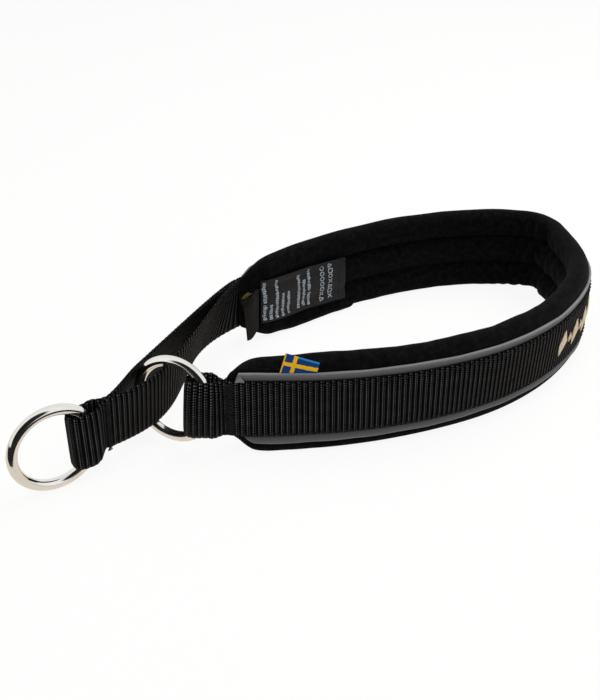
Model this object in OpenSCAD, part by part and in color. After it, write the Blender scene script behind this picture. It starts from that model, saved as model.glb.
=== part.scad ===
// Padded martingale dog collar, lying on its lower edge.
// Plan: X to the right, Y away from the viewer, Z up, table at Z = 0.

/* [Band section] */
// Height of the padded band over its rolled edges
pad_h = 43; // [40:0.5:48]
// Thickness of the rolled edges
pad_t = 10; // [9:0.5:11]
// Distance from the middle of the pad to its flat outer face
face_t = 4.2; // [4:0.1:4.5]
// Distance from the middle of the pad to the crown of the inner face
crown_t = 5.4; // [5:0.1:5.8]
// Distance from the middle of the pad to the sewn seams of the inner face
seam_t = 1.8; // [1.4:0.1:2.4]
// Height of the middle channel between the two sewn seams
channel_h = 15; // [13:0.5:17]
// Depth of the flat that the lower edge stands on
rest_cut = 0.5; // [0.3:0.1:0.8]
// Thickness of the lining fabric
lining_t = 0.9; // [0.6:0.1:1.2]
// Room between the foam and the lining
foam_gap = 0.2; // [0.1:0.05:0.4]
// Length of the closed lining at each end of the band
end_wall = 3; // [2:0.5:4]
// Length of the tapered corners at each end of the band
taper_len = 14; // [12:0.5:15]
// Height of the band end above and below the webbing
taper_lip = 1.5; // [1:0.1:2.5]
// Share of the pad's thickness that is left at its sewn ends
end_share = 0.4; // [0.35:0.05:0.5]

/* [Webbing] */
// Width of the webbing
web_w = 25; // [23:0.5:26]
// Thickness of the webbing
web_t = 1.7; // [1.4:0.1:2]
// Height of each grey piping strip
piping_h = 4.2; // [3.5:0.1:5]
// Thickness of each piping strip
piping_t = 1.2; // [0.8:0.1:1.6]
// Width of a bar tack
tack_w = 2; // [1.5:0.1:2.5]
// Height that a bar tack stands over the webbing
tack_t = 0.6; // [0.4:0.1:0.8]

/* [Band plan] */
// Distance from the collar's middle to the front end of the band, to the left
front_left = 42.5; // [41:0.1:44]
// Distance from the collar's middle to the front end of the band, towards the viewer
front_near = 53.65; // [52:0.05:55]
// Straight run at the front end
front_run = 24; // [21:0.5:28]
// Radius of the front sweep
front_r = 172; // [165:1:185]
// Angle of the front sweep
front_a = 26; // [25:0.5:27]
// Radius of the side sweep
side_r = 125; // [120:1:132]
// Angle of the side sweep
side_a = 35; // [34:0.5:36]
// Radius of the far end
end_r = 67; // [64:0.5:70]
// Angle of the far end
end_a = 58; // [57:0.5:59]
// Radius of the tight bend
bend_r = 14; // [13:0.5:16]
// Angle of the tight bend
bend_a = 52; // [51:0.5:53]
// Radius of the back sweep
back_r = 113; // [110:1:117]
// Angle of the back sweep
back_a = 28; // [27:0.5:29]
// Radius of the tail sweep
tail_r = 210; // [204:1:216]
// Angle of the tail sweep
tail_a = 25; // [24:0.5:26]
// Straight run at the back end
tail_run = 15; // [15:0.5:18]

/* [Rings] */
// Inner diameter of both rings
ring_id = 29.5; // [29:0.25:31]
// Wire diameter of both rings
ring_wire = 4.4; // [4:0.1:4.6]
// Room between a ring's wire and its webbing loop
ring_gap = 0.5; // [0.4:0.05:0.6]
// Distance from the front end of the band to its bar tack
loop_run = 2.4; // [2.3:0.1:3]
// Distance from the front bar tack to the centre of the slide ring
slide_reach = 21.4; // [21.1:0.1:21.8]
// Distance that the slide ring's centre lies behind the webbing
slide_back = 6; // [5.5:0.25:6.5]
// Plan heading of the slide ring's plane
slide_turn = 155; // [152:1:158]
// Lean of the slide ring
slide_lean = 8; // [6:0.5:9]
// Distance from the slide ring's centre to the strap's bar tack
draw_len = 31; // [29:0.5:32]
// Plan heading from the slide ring to the strap's bar tack
draw_turn = 216; // [214:0.5:218]
// Plan heading of the leash loop and its ring
leash_turn = 214; // [212:0.5:216]
// Distance from the strap's bar tack to the centre of the leash ring
leash_reach = 21.6; // [21.4:0.1:22]
// How far inside the slide ring the front ply of the strap passes
pass_in = 5; // [4:0.25:5.5]
// How far the strap's rear ply leans over the slide ring at its upper edge
strap_lean = 4; // [2:0.5:5]
// How long the strap's lower edge keeps the band's heading, as a share of its run
low_lead = 1.5; // [1.2:0.1:1.6]
// How long the strap's upper edge keeps the band's heading, as a share of its run
top_lead = 0.3; // [0.2:0.1:0.6]

/* [Labels] */
// Length of the care label
label_len = 52; // [46:1:56]
// Height of the care label
label_h = 23; // [20:0.5:25]
// Distance from the back end of the band to the care label
label_from_end = 8; // [8:0.5:12]
// Height of the care label's middle below the middle of the band
label_drop = 1; // [0:0.5:2]
// Width of the label's hanging tail
tail_w = 7; // [5:0.5:7]
// Room between the label and its hanging tail
tail_clear = 0.5; // [0.3:0.1:0.8]
// How far the tail's tip hangs below the middle of the band
tail_drop = 18; // [16:0.5:19]
// Width of the flag tab in the upper seam
flag_w = 16; // [13:0.5:19]
// Height of the flag tab
flag_h = 8; // [6:0.5:9]
// Distance from the front end of the band to the flag tab
flag_from_end = 20; // [17:0.5:26]
// Thickness of labels and tabs
label_t = 0.5; // [0.4:0.05:0.7]

/* [Hidden] */
$fn = 120;

black = [0.05, 0.05, 0.055];
grey = [0.36, 0.37, 0.4];
steel = [0.78, 0.78, 0.76];

// Room left between the front and back halves at the tight bend
joint_gap = 0.3;
// Room between two faces that only touch
touch = 0.05;
// Most that the band's facets leave its true arcs
facet_sag = 0.2;
// Stations in each tapered end
taper_steps = 5;

half_h = pad_h / 2;
half_w = web_w / 2;
roll_r = pad_t / 2;
// Height of the middle of the band over the table
mid_z = half_h - rest_cut;
ring_r = (ring_id + ring_wire) / 2;

// Plan of the band: a straight run, a chain of tangent arcs and a straight run
bends = [
    [front_r, front_a], [side_r, side_a], [end_r, end_a],
    [bend_r, bend_a], [back_r, back_a], [tail_r, tail_a],
];
tight = 3;
last = len(bends);
front_end = [-front_left, -front_near];

function turn_of(i) = i == 0 ? 0 : turn_of(i - 1) + bends[i - 1][1];
function along(h) = [cos(h), sin(h)];
function outward(h) = [sin(h), -cos(h)];
function joint_of(i) = i == 0
    ? front_end + [front_run, 0]
    : joint_of(i - 1) + bends[i - 1][0] * (outward(turn_of(i)) - outward(turn_of(i - 1)));
function centre_of(i) = joint_of(i) - bends[i][0] * outward(turn_of(i));

back_turn = turn_of(last);
back_end = joint_of(last) + tail_run * along(back_turn);

// Rings and bar tacks in plan
tack_front = front_end - [loop_run, 0];
web_mid = face_t + touch + web_t / 2;
ply = web_t / 2 + touch;
slide_c = tack_front + [-slide_reach, slide_back - web_mid];
tack_leash = slide_c + draw_len * along(draw_turn);
leash_c = tack_leash + leash_reach * along(leash_turn);
// The strap's free end sinks until its ring rests on the table
leash_z = ring_r + ring_wire / 2;

// Stations along the band: [plan point, heading, distance from the free end]
function arc_steps(i) = max(5, ceil(bends[i][1] / (2 * acos(1 - facet_sag / bends[i][0]))));
function arc_station(i, h) = [centre_of(i) + bends[i][0] * outward(h), h, taper_len];
function arc_stations(i) =
    [for (k = [1 : arc_steps(i)]) arc_station(i, turn_of(i) + bends[i][1] * k / arc_steps(i))];
function end_marks(cut) =
    concat([cut], [for (k = [1 : taper_steps]) if (k * taper_len / taper_steps > cut + touch)
                   k * taper_len / taper_steps]);
function front_stations(cut = 0) = concat(
    [for (d = end_marks(cut)) [front_end + [d, 0], 0, d]],
    [[joint_of(0), 0, taper_len]],
    [for (i = [0 : tight - 1]) each arc_stations(i)]
);
bend_stations = concat([arc_station(tight, turn_of(tight))], arc_stations(tight));
function back_stations(cut = 0) =
    let (marks = end_marks(cut), gap_turn = joint_gap / back_r * 180 / PI)
    concat(
        [arc_station(tight + 1, turn_of(tight + 1) + gap_turn)],
        [for (i = [tight + 1 : last - 1]) each arc_stations(i)],
        [for (k = [len(marks) - 1 : -1 : 0]) [back_end - marks[k] * along(back_turn), back_turn, marks[k]]]
    );

// Half height of the pad at a distance from its free end: the corners taper to the webbing
end_half = half_w + taper_lip;
function taper_at(d) = sin(90 * min(d / taper_len, 1));
function half_at(d) = end_half + (half_h - end_half) * taper_at(d);
// Thickness of the pad there: its ends are sewn flat
function thick_at(d) = pad_t * (end_share + (1 - end_share) * taper_at(d));

// A ring of 3D points from outline points [outward, up] at a station
function ring_at(station, outline) =
    [for (q = outline) concat(station[0] + q[0] * outward(station[1]), mid_z + q[1])];

// Outline of the pad: flat outer face, rolled edges and three drawn-in channels inside
roll_c = face_t - roll_r;
roll_z = half_h - roll_r;
seam_z = channel_h / 2;
inner_t = pad_t - face_t;
lobe_steps = 3;
roll_step = 30;
function roll_points(turns, r, side) =
    [for (q = turns) [roll_c + r * cos(q), side * roll_z + r * sin(q)]];
function lobe_points(inset, ks, side) =
    [for (k = ks) let (s = k / lobe_steps)
        [inset - seam_t - (inner_t - seam_t) * cos(90 * s), side * (roll_z + (seam_z - roll_z) * s)]];
function pad_outline(d, inset = 0) =
    let (r = roll_r - inset,
         flat = asin((r - rest_cut) / r),
         face = face_t - inset,
         scale_z = (half_at(d) - inset) / (half_h - inset),
         scale_t = (thick_at(d) - 2 * inset) / (pad_t - 2 * inset))
    [for (q = concat(
        roll_points([0 : roll_step : 180], r, 1),
        lobe_points(inset, [1 : lobe_steps], 1),
        [for (k = [1 : 2 * lobe_steps - 1]) let (z = seam_z * (1 - k / lobe_steps))
            [inset - seam_t - (crown_t - seam_t) * cos(90 * z / seam_z), z]],
        lobe_points(inset, [lobe_steps : -1 : 1], -1),
        roll_points([180, 180 + roll_step, 180 + flat, 360 - flat, 360 - roll_step, 360], r, -1)))
        [face - (face - q[0]) * scale_t, q[1] * scale_z]];
function pad_rings(stations, inset = 0) =
    [for (s = stations) ring_at(s, pad_outline(s[2], inset))];

// Faces of a sweep through rings of n points that start at index base; inward turns them over
function skin(count, n, base, inward = false) =
    [for (j = [0 : count - 2], i = [0 : n - 1])
        let (i2 = (i + 1) % n, q = [i, i2, i2 + n, i + n] + [1, 1, 1, 1] * (base + j * n))
        inward ? [q[3], q[2], q[1], q[0]] : q];
function cap(n, base, inward) = [for (i = [0 : n - 1]) base + (inward ? n - 1 - i : i)];
function annulus(n, outer, inner, at_start) =
    [for (i = [0 : n - 1])
        let (i2 = (i + 1) % n, q = [outer + i, outer + i2, inner + i2, inner + i])
        at_start ? [q[3], q[2], q[1], q[0]] : q];
function flat_list(rings) = [for (r = rings) each r];

// Solid sweep through rings of points
module sweep(rings) {
    n = len(rings[0]);
    count = len(rings);
    polyhedron(flat_list(rings),
               concat(skin(count, n, 0), [cap(n, 0, true), cap(n, (count - 1) * n, false)]),
               convexity = 8);
}

// Hollow sweep: closed ends have a wall, open ends show the hollow
module shell(outer, inner, open_start, open_end) {
    n = len(outer[0]);
    co = len(outer);
    ci = len(inner);
    base = co * n;
    out_end = (co - 1) * n;
    in_end = base + (ci - 1) * n;
    polyhedron(flat_list(concat(outer, inner)),
               concat(
                   skin(co, n, 0),
                   skin(ci, n, base, true),
                   open_start ? annulus(n, 0, base, true) : [cap(n, 0, true), cap(n, base, false)],
                   open_end ? annulus(n, out_end, in_end, false)
                            : [cap(n, out_end, false), cap(n, in_end, true)]),
               convexity = 8);
}

// Foam core in three lengths
foam_inset = lining_t + foam_gap;
foam_end = end_wall + foam_gap;

module foam_front() {
    color("dimgray") sweep(pad_rings(front_stations(foam_end), foam_inset));
}

module foam_bend() {
    color("dimgray") sweep(pad_rings(bend_stations, foam_inset));
}

module foam_back() {
    color("dimgray") sweep(pad_rings(back_stations(foam_end), foam_inset));
}

// Lining rolled round the foam, closed at the band ends
module lining_front() {
    color(black) shell(pad_rings(front_stations()), pad_rings(front_stations(end_wall), lining_t), false, true);
}

module lining_bend() {
    color(black) shell(pad_rings(bend_stations), pad_rings(bend_stations, lining_t), true, true);
}

module lining_back() {
    color(black) shell(pad_rings(back_stations()), pad_rings(back_stations(end_wall), lining_t), true, false);
}

// Webbing along the outer face; its front end runs on to the bar tack
web_low = face_t + touch;
web_outline = [[web_low, -half_w], [web_low + web_t, -half_w], [web_low + web_t, half_w], [web_low, half_w]];
function web_rings(stations) = [for (s = stations) ring_at(s, web_outline)];

module webbing_front() {
    color(black) sweep(web_rings(concat([[tack_front, 0, 0]], front_stations())));
}

module webbing_bend() {
    color(black) sweep(web_rings(bend_stations));
}

module webbing_back() {
    color(black) sweep(web_rings(back_stations()));
}

// Folded grey tape above (side 1) or below (side -1) the webbing, with a crowned face
piping_end = taper_lip;
// Outline in shares of the tape's thickness and height
piping_shape = [[0, 0], [0.7, 0], [1, 0.4], [0.9, 0.8], [0.4, 1], [0, 1]];
function piping_outline(d, side) =
    let (low = half_w + touch,
         high = min(half_w + piping_h, half_at(d) - taper_lip / 2),
         q = [for (s = piping_shape) [web_low + piping_t * s[0], low + (high - low) * s[1]]])
    side > 0 ? q : [for (k = [len(q) - 1 : -1 : 0]) [q[k][0], -q[k][1]]];
function piping_rings(stations, side) = [for (s = stations) ring_at(s, piping_outline(s[2], side))];

module piping_front(side) {
    color(grey) sweep(piping_rings(front_stations(piping_end), side));
}

module piping_bend(side) {
    color(grey) sweep(piping_rings(bend_stations, side));
}

module piping_back(side) {
    color(grey) sweep(piping_rings(back_stations(piping_end), side));
}

module at_front_end() {
    translate(concat(front_end, mid_z))
        children();
}

module at_back_end() {
    translate(concat(back_end, mid_z))
        rotate(back_turn + 180)
            children();
}

// Welded steel ring at height z in an upright plane with heading h, leaning back by lean
module ring(c, z, h, lean) {
    color(steel)
        translate(concat(c, z))
            rotate([0, 0, h])
                rotate([90 + lean, 0, 0])
                    rotate_extrude()
                        translate([ring_r, 0])
                            circle(d = ring_wire);
}

module slide_ring() {
    ring(slide_c, mid_z, slide_turn, slide_lean);
}

module leash_ring() {
    ring(leash_c, leash_z, leash_turn, 0);
}

// Plan point of a ring's wire at height z over the middle of the band
function wire_at(c, h, lean, z) =
    let (b = z / cos(lean), s = sqrt(ring_r * ring_r - b * b))
    c - s * along(h) + b * sin(lean) * along(h - 90);

// Widening of the wire's section where the loop crosses it aslant
aslant = 1.14;
// Half of the gap that a loop's plies keep round the wire
loop_half = ring_wire / 2 * aslant + ring_gap + web_t / 2;
// How far the wire reaches out along the loop at the edges of the webbing
wire_edge = sqrt(ring_r * ring_r - half_w * half_w) - sqrt(ring_id * ring_id / 4 - half_w * half_w);

function ease(x) = let (k = min(max(x, 0), 1)) k * k * (3 - 2 * k);

// Middle line of a webbing loop at one height: out along one ply, round the fold and back.
// w is the wire in loop coordinates [out, side], fold is the reach of the fold,
// side_a and side_b place the two plies at the bar tack, back_run lengthens the second ply.
ply_steps = 10;
fold_steps = 8;
function loop_line(w, fold, ramp, side_a, side_b, back_run) =
    let (core = fold - loop_half)
    concat(
        [for (k = [0 : ply_steps])
            let (u = touch + (core - touch) * k / ply_steps)
            [u, side_a + (w[1] + loop_half - side_a) * ease(u / ramp)]],
        [for (k = [1 : fold_steps - 1])
            let (q = 90 - 180 * k / fold_steps)
            [core + loop_half * cos(q), w[1] + loop_half * sin(q)]],
        [for (k = [ply_steps : -1 : 0])
            let (u = touch + (core - touch) * k / ply_steps)
            [u, side_b + (w[1] - loop_half - side_b) * ease(u / ramp)]],
        back_run > 0 ? [[-back_run, side_b]] : []
    );

// Points on both faces of a line, half the webbing's thickness to each side;
// first and final are the headings of its ends
function faces_of(line, first, final) =
    let (n = len(line))
    [for (k = [0 : n - 1])
        let (d = k == 0 ? along(first) : k == n - 1 ? along(final) : line[k + 1] - line[k - 1],
             m = [-d[1], d[0]] / norm(d) * web_t / 2)
        [line[k] - m, line[k] + m]];

// Heights of the rows of a strip of webbing, from its lower edge to its upper one
levels = 8;
function row_z(j) = half_w * (2 * j / levels - 1);

// Strip of webbing through rows of point pairs: rows go up, pairs go along, each pair lies on its two faces
module ribbon(rows) {
    n = len(rows[0]);
    points = [for (row = rows, f = [0, 1], pair = row) pair[f]];
    function at(j, f, k) = (2 * j + f) * n + k;
    function quad(a, b, c, d) = [[a, b, c], [a, c, d]];
    faces = concat(
        [for (j = [0 : levels - 1], k = [0 : n - 2])
            each quad(at(j, 0, k), at(j + 1, 0, k), at(j + 1, 0, k + 1), at(j, 0, k + 1))],
        [for (j = [0 : levels - 1], k = [0 : n - 2])
            each quad(at(j, 1, k), at(j, 1, k + 1), at(j + 1, 1, k + 1), at(j + 1, 1, k))],
        [for (j = [0 : levels - 1])
            each quad(at(j, 0, 0), at(j, 1, 0), at(j + 1, 1, 0), at(j + 1, 0, 0))],
        [for (j = [0 : levels - 1])
            each quad(at(j, 0, n - 1), at(j + 1, 0, n - 1), at(j + 1, 1, n - 1), at(j, 1, n - 1))],
        [for (k = [0 : n - 2])
            each quad(at(0, 0, k), at(0, 0, k + 1), at(0, 1, k + 1), at(0, 1, k))],
        [for (k = [0 : n - 2])
            each quad(at(levels, 0, k), at(levels, 1, k), at(levels, 1, k + 1), at(levels, 0, k + 1))]
    );
    polyhedron(points, faces, convexity = 6);
}

// Webbing loop round a ring: origin at the bar tack, X out to the fold, Y to the first ply
module webbing_loop(wires, fold, ramp, side_a, side_b, back_run = 0) {
    ribbon([for (j = [0 : levels])
        [for (pair = faces_of(loop_line(wires[j], fold, ramp, side_a, side_b, back_run), 0, 180))
            [for (q = pair) concat(q, row_z(j))]]]);
}

// A plan point in the coordinates of a loop at tack point p with heading h
function in_loop(q, p, h) = [(q - p) * along(h), (q - p) * along(h + 90)];
function loop_wires(c, h, lean, p, heading) =
    [for (j = [0 : levels])
        in_loop(wire_at(c, h, lean, row_z(j)), p, heading)];

module at_loop(p, z, h) {
    translate(concat(p, z))
        rotate(h)
            children();
}

function fold_reach(wires) = max(wires[0][0], wires[levels][0]) + wire_edge + ring_gap + web_t / 2;

slide_wires = loop_wires(slide_c, slide_turn, slide_lean, tack_front, 180);
leash_wires = loop_wires(leash_c, leash_turn, 0, tack_leash, leash_turn);
slide_ramp = slide_wires[levels / 2][0];
leash_ramp = leash_wires[levels / 2][0];

module slide_loop() {
    color(black)
        at_loop(tack_front, mid_z, 180)
            webbing_loop(slide_wires, fold_reach(slide_wires), slide_ramp,
                         web_mid, web_mid - web_t - touch, loop_run - touch);
}

module leash_loop() {
    color(black)
        at_loop(tack_leash, leash_z, leash_turn)
            webbing_loop(leash_wires, fold_reach(leash_wires), leash_ramp, ply, -ply);
}

// Dense bar of stitches standing on both faces of two plies; low and high are the outer faces
tack_gap = 2 * touch;
module bar_tack(low, high) {
    for (at_face = [low - tack_gap - tack_t, high + tack_gap])
        translate([-tack_w, at_face, tack_w - half_w])
            cube([tack_w, tack_t, web_w - 2 * tack_w]);
}

module slide_loop_tack() {
    color(black)
        at_loop(tack_front, mid_z, 180)
            bar_tack(web_mid - 1.5 * web_t - touch, web_mid + web_t / 2);
}

module leash_loop_tack() {
    color(black)
        at_loop(tack_leash, leash_z, leash_turn)
            bar_tack(touch - 2 * ply, 2 * ply - touch);
}

// Smooth plan curve from point a to b, leaving along va and arriving along vb
curve_steps = 12;
function curve(a, va, b, vb) =
    [for (k = [0 : curve_steps])
        let (s = k / curve_steps, s2 = s * s, s3 = s2 * s)
        (2 * s3 - 3 * s2 + 1) * a + (s3 - 2 * s2 + s) * va
        + (3 * s2 - 2 * s3) * b + (s3 - s2) * vb];

// Middle line of one ply at one height: from under the strap's tack past the slide ring to the band's back end;
// lead says how long it keeps the band's heading there
function ply_line(tacked, mid, finish, lead) =
    let (start = tacked + tack_w * along(leash_turn + 180),
         way = (finish - start) / norm(finish - start),
         first = curve(start, norm(mid - start) * along(leash_turn + 180), mid, norm(mid - start) * way),
         second = curve(mid, norm(finish - mid) * way,
                        finish, norm(finish - mid) * lead * along(back_turn + 180)))
    concat([tacked], first, [for (k = [1 : curve_steps]) second[k]]);

// Height of a ply's middle at point k of its line: it sinks from the slide ring to the tack
function ply_z(k) = leash_z + (mid_z - leash_z) * ease((k - 1) / curve_steps);

// A ply from the strap's tack to the band's back end, passing slide_c by passes[j] at each height
module strap_ply(tacked, passes, finish) {
    color(black)
        ribbon([for (j = [0 : levels])
            let (lead = low_lead + (top_lead - low_lead) * j / levels,
                 line = ply_line(tacked, slide_c + passes[j] * along(slide_turn), finish, lead),
                 sides = faces_of(line, leash_turn + 180, back_turn + 180))
            [for (k = [0 : len(sides) - 1]) [for (q = sides[k]) concat(q, ply_z(k) + row_z(j))]]]);
}

side_leash = along(leash_turn + 90);
rear_pass = ring_r + ring_wire / 2 + ring_gap + web_t;
strap_end = back_end + joint_gap * along(back_turn);

module strap_front_ply() {
    strap_ply(tack_leash + ply * side_leash,
              [for (j = [0 : levels]) pass_in],
              strap_end + (face_t - ply) * outward(back_turn));
}

module strap_rear_ply() {
    strap_ply(tack_leash - ply * side_leash,
              [for (j = [0 : levels]) rear_pass - strap_lean * row_z(j) / half_w],
              strap_end + (face_t + ply) * outward(back_turn));
}

// Stitches that close the band's back end over the strap
module strap_anchor_tack() {
    color(black)
        at_back_end()
            translate([tack_w, web_low + web_t + touch, tack_w - half_w])
                cube([tack_w, tack_t, web_w - 2 * tack_w]);
}

// Station at distance d from the back end, along the straight run and the tail sweep
function tail_station(d) =
    let (h = back_turn - max(d - tail_run, 0) / tail_r * 180 / PI)
    d < tail_run
        ? [back_end - d * along(back_turn), back_turn, d]
        : [centre_of(last - 1) + tail_r * outward(h), h, d];

// Ring of a label that lies on the inner face where the pad is depth deep behind its middle
function label_ring(d, depth, low, high) =
    let (face = thick_at(d) * (face_t + depth) / pad_t - face_t + facet_sag + touch)
    ring_at(tail_station(d), [[-face - label_t, low], [-face, low], [-face, high], [-face - label_t, high]]);

// Care label on the inner face of the back half
label_steps = 12;
module care_label() {
    color("gray")
        sweep([for (k = [label_steps : -1 : 0])
            label_ring(label_from_end + label_len * k / label_steps, crown_t,
                       -label_drop - label_h / 2, label_h / 2 - label_drop)]);
}

// Folded tail of the label, hanging below the band's end with a slanted tip
tail_top = 3;
tail_slant = 4;
tail_steps = 4;
module label_tail() {
    color("darkslategray")
        sweep([for (k = [tail_steps : -1 : 0])
            label_ring(label_from_end - tail_clear - tail_w * (1 - k / tail_steps), inner_t,
                       tail_slant * k / tail_steps - tail_drop, tail_top)]);
}

// Small tab sewn into the seam over the upper piping, lying on the rolled edge
module flag_tab() {
    color("navy")
        at_front_end()
            translate([flag_from_end, -roll_c, roll_z])
                rotate([90, 0, 90])
                    mirror([1, 0, 0])
                        linear_extrude(height = flag_w)
                            rotate(flag_seam)
                                flag_section();
}

// Seam angle and wrap angle of the tab round the rolled edge
flag_seam = 4;
flag_wrap = flag_h / roll_r * 180 / PI;

module flag_section() {
    low = roll_r + touch;
    arc_points = 8;
    polygon(concat(
        [for (k = [0 : arc_points]) low * along(flag_wrap * k / arc_points)],
        [for (k = [arc_points : -1 : 0]) (low + label_t) * along(flag_wrap * k / arc_points)]));
}

foam_front();
foam_bend();
foam_back();
lining_front();
lining_bend();
lining_back();
webbing_front();
webbing_bend();
webbing_back();
piping_front(1);  // piping_upper_front
piping_bend(1);  // piping_upper_bend
piping_back(1);  // piping_upper_back
piping_front(-1);  // piping_lower_front
piping_bend(-1);  // piping_lower_bend
piping_back(-1);  // piping_lower_back
slide_loop();
slide_loop_tack();
slide_ring();
strap_front_ply();
strap_rear_ply();
strap_anchor_tack();
leash_loop();
leash_loop_tack();
leash_ring();
care_label();
label_tail();
flag_tab();
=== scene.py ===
"""Looks of a padded half-choke dog collar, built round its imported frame."""
import math
from functools import partialmethod

import bmesh
import bpy
import numpy as np
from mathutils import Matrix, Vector
from numpy.linalg import norm


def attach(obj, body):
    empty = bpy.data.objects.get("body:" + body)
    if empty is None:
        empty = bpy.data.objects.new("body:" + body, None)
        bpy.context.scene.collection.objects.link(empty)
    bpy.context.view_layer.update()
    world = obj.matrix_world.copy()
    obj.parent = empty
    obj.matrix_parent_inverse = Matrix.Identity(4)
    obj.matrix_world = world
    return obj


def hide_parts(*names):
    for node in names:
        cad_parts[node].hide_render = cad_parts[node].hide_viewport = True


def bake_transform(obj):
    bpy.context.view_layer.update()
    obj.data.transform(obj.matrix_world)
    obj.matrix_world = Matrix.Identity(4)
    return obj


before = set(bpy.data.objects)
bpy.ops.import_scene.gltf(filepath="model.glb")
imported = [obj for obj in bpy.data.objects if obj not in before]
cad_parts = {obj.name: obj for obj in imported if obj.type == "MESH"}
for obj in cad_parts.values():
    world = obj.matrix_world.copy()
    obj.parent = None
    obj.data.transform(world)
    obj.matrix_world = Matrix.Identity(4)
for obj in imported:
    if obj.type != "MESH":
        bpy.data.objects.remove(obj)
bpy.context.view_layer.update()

# Sizes are in millimetres until a mesh is made
MM = 0.001
SEED = 7
TURN = 2 * math.pi

# Band section: outer face, inner crown and seams lie out from or behind its middle line
PAD_H = 43.0
PAD_T = 10.0
FACE = 4.2
CROWN = 5.4
SEAM = 1.8
CHANNEL_H = 15.0
CHANNEL_POWER = 0.75
# Slice of the lower roll that rests flat on the table
REST_CUT = 0.5
MID_Z = PAD_H / 2 - REST_CUT
ROLL_R = PAD_T / 2
ROLL_OUT = FACE - ROLL_R
ROLL_UP = PAD_H / 2 - ROLL_R
SEAM_UP = CHANNEL_H / 2

# Ends of the pad: length and rounding of their taper, and what is left of height and thickness
TAPER_LEN = 14.0
TAPER_ROUND = 1.15
SHOULDER = 0.18
FRONT_TAPER = 11.5
FRONT_FROM = 1.9
END_RUN = 2.4
END_LIP = 0.2
END_SHARE = 0.4
# The front end is tucked in behind the turned-in ply of the ring's loop
TUCK_FROM = 0.8
TUCK_LOW = 0.08
TUCK_IN = 0.65

# Softness of the pad: unevenness, puckers at the seams, swelling rolls and waves of the edges
SOFT_WIDE = 0.16
SOFT_NARROW = 0.1
PUCKER = 0.22
PUCKER_PITCH = 5.2
SEAM_NEAR = 2.2
FRONT_SWELL = 1.5
LABEL_SWELL = 2.2
TOP_DRAW = 1.5
EDGE_WAVE = 0.18
# Folds at the tight bend: place along the band, slope, depth and width; and a pinch at the lower roll
FOLDS = ((-8.5, -0.25, 2.4, 5.0), (-14.0, -0.25, 1.8, 1.6), (-5.5, -0.4, 1.5, 1.6), (2.0, -0.35, 1.5, 1.7),
         (8.0, -0.3, 1.0, 2.0), (15.0, -0.25, 0.55, 2.4), (-24.0, -0.1, 0.4, 2.6))
PINCH = 1.6
PINCH_AT = -7.0
PINCH_W = 6.0

# Cloth simulation of the lining, run at a larger scale, with the most that a point may move
SIM_SCALE = 20
SIM_FRAMES = 20
SIM_CAP = 1.8
CLOTH = dict(quality=5, mass=0.3, tension_stiffness=12, compression_stiffness=12, shear_stiffness=4,
             bending_stiffness=0.3, use_pressure=True, uniform_pressure_force=1.2,
             vertex_group_mass="held", vertex_group_shrink="slack", shrink_min=-0.02, shrink_max=-0.09)

# Webbing and piping
WEB_W = 25.0
WEB_T = 1.7
HALF_W = WEB_W / 2
LAY_GAP = 0.05
WEB_LOW = FACE + LAY_GAP
WEB_MID = WEB_LOW + WEB_T / 2
WEB_TOP = WEB_LOW + WEB_T
RIB_PITCH = 2.3
RIB_H = 0.32
RIB_NICK = 0.3
# Place of the painted glint dots beside a rib's crest, the yarns across it, and the twist of the threads
RIB_FLANK = 0.842
YARN_PITCH = 1.1
TWIST_PITCH = TURN / 14
PIPING_H = 3.8
PIPING_T = 1.2
# Share of the lower piping that shows under the webbing, at distances along the band
LOW_PIPING = ((40, 1.0), (110, 0.74), (165, 0.74), (200, 1.0))

# Plan of the band's middle line: straight runs and tangent arcs (radius, angle)
FRONT_END = np.array([-42.5, -53.65])
FRONT_RUN = 24.0
TAIL_RUN = 15.0
ARCS = ((172, 26), (125, 35), (67, 58), (14, 52), (113, 28), (210, 25))

# Labels
LABEL_LEN = 52.0
LABEL_H = 23.0
LABEL_FROM = 8.0
LABEL_DROP = 1.0
LABEL_SLOPE = 2.4
LABEL_T = 0.5
LABEL_GAP = 0.25
HEM_FROM = 48.2
HEM_SEAM = 50.0
# Printed rows: place along the label, and start and end across it, as shares; then rows of symbols
PRINT_ROWS = ((0.03, 0.06, 0.42), (0.03, 0.47, 0.96), (0.095, 0.05, 0.4), (0.16, 0.05, 0.95),
              (0.23, 0.05, 0.6), (0.3, 0.07, 0.62), (0.43, 0.1, 0.88), (0.495, 0.12, 0.76),
              (0.56, 0.1, 0.42), (0.56, 0.45, 0.97))
SYMBOL_ROWS = ((0.72, 0.14), (0.82, 0.17))
SYMBOLS_EACH = 7
SYMBOL_STEP = 0.122
SYMBOL_HALF = (0.022, 0.044)
SYMBOL_LINE = 0.24
TAIL_W = 8.0
TAIL_DROP = 18.4
TAIL_SLANT = 6.0
TAIL_OPEN = 1.9
FLAG_FROM = 20.0
FLAG_LEN = 14.0
FLAG_H = 7.8
FLAG_TILT = math.radians(17)
FLAG_HELD = 2.3
# Middle of the flag's cross along and up the tab, and half the width of its bars
CROSS_AT = (4.5, 3.6)
CROSS_HALF = 0.75

# Rings and their webbing loops
RING_ID = 29.5
RING_WIRE = 4.4
RING_R = (RING_ID + RING_WIRE) / 2
RING_GAP = 0.5
ASLANT = 1.14
LOOP_HALF = RING_WIRE / 2 * ASLANT + RING_GAP + WEB_T / 2
LOOP_RUN = END_RUN
LOOP_FADE = 8.0
TACK_W = 2.0
TACK_FRONT = FRONT_END - [LOOP_RUN, 0]
SLIDE_TURN = 155.0
SLIDE_LEAN = 8.0
SLIDE_C = TACK_FRONT + [-21.4, 6.0 - WEB_MID]
LEASH_TURN = 214.0
LEASH_Z = RING_R + RING_WIRE / 2
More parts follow.
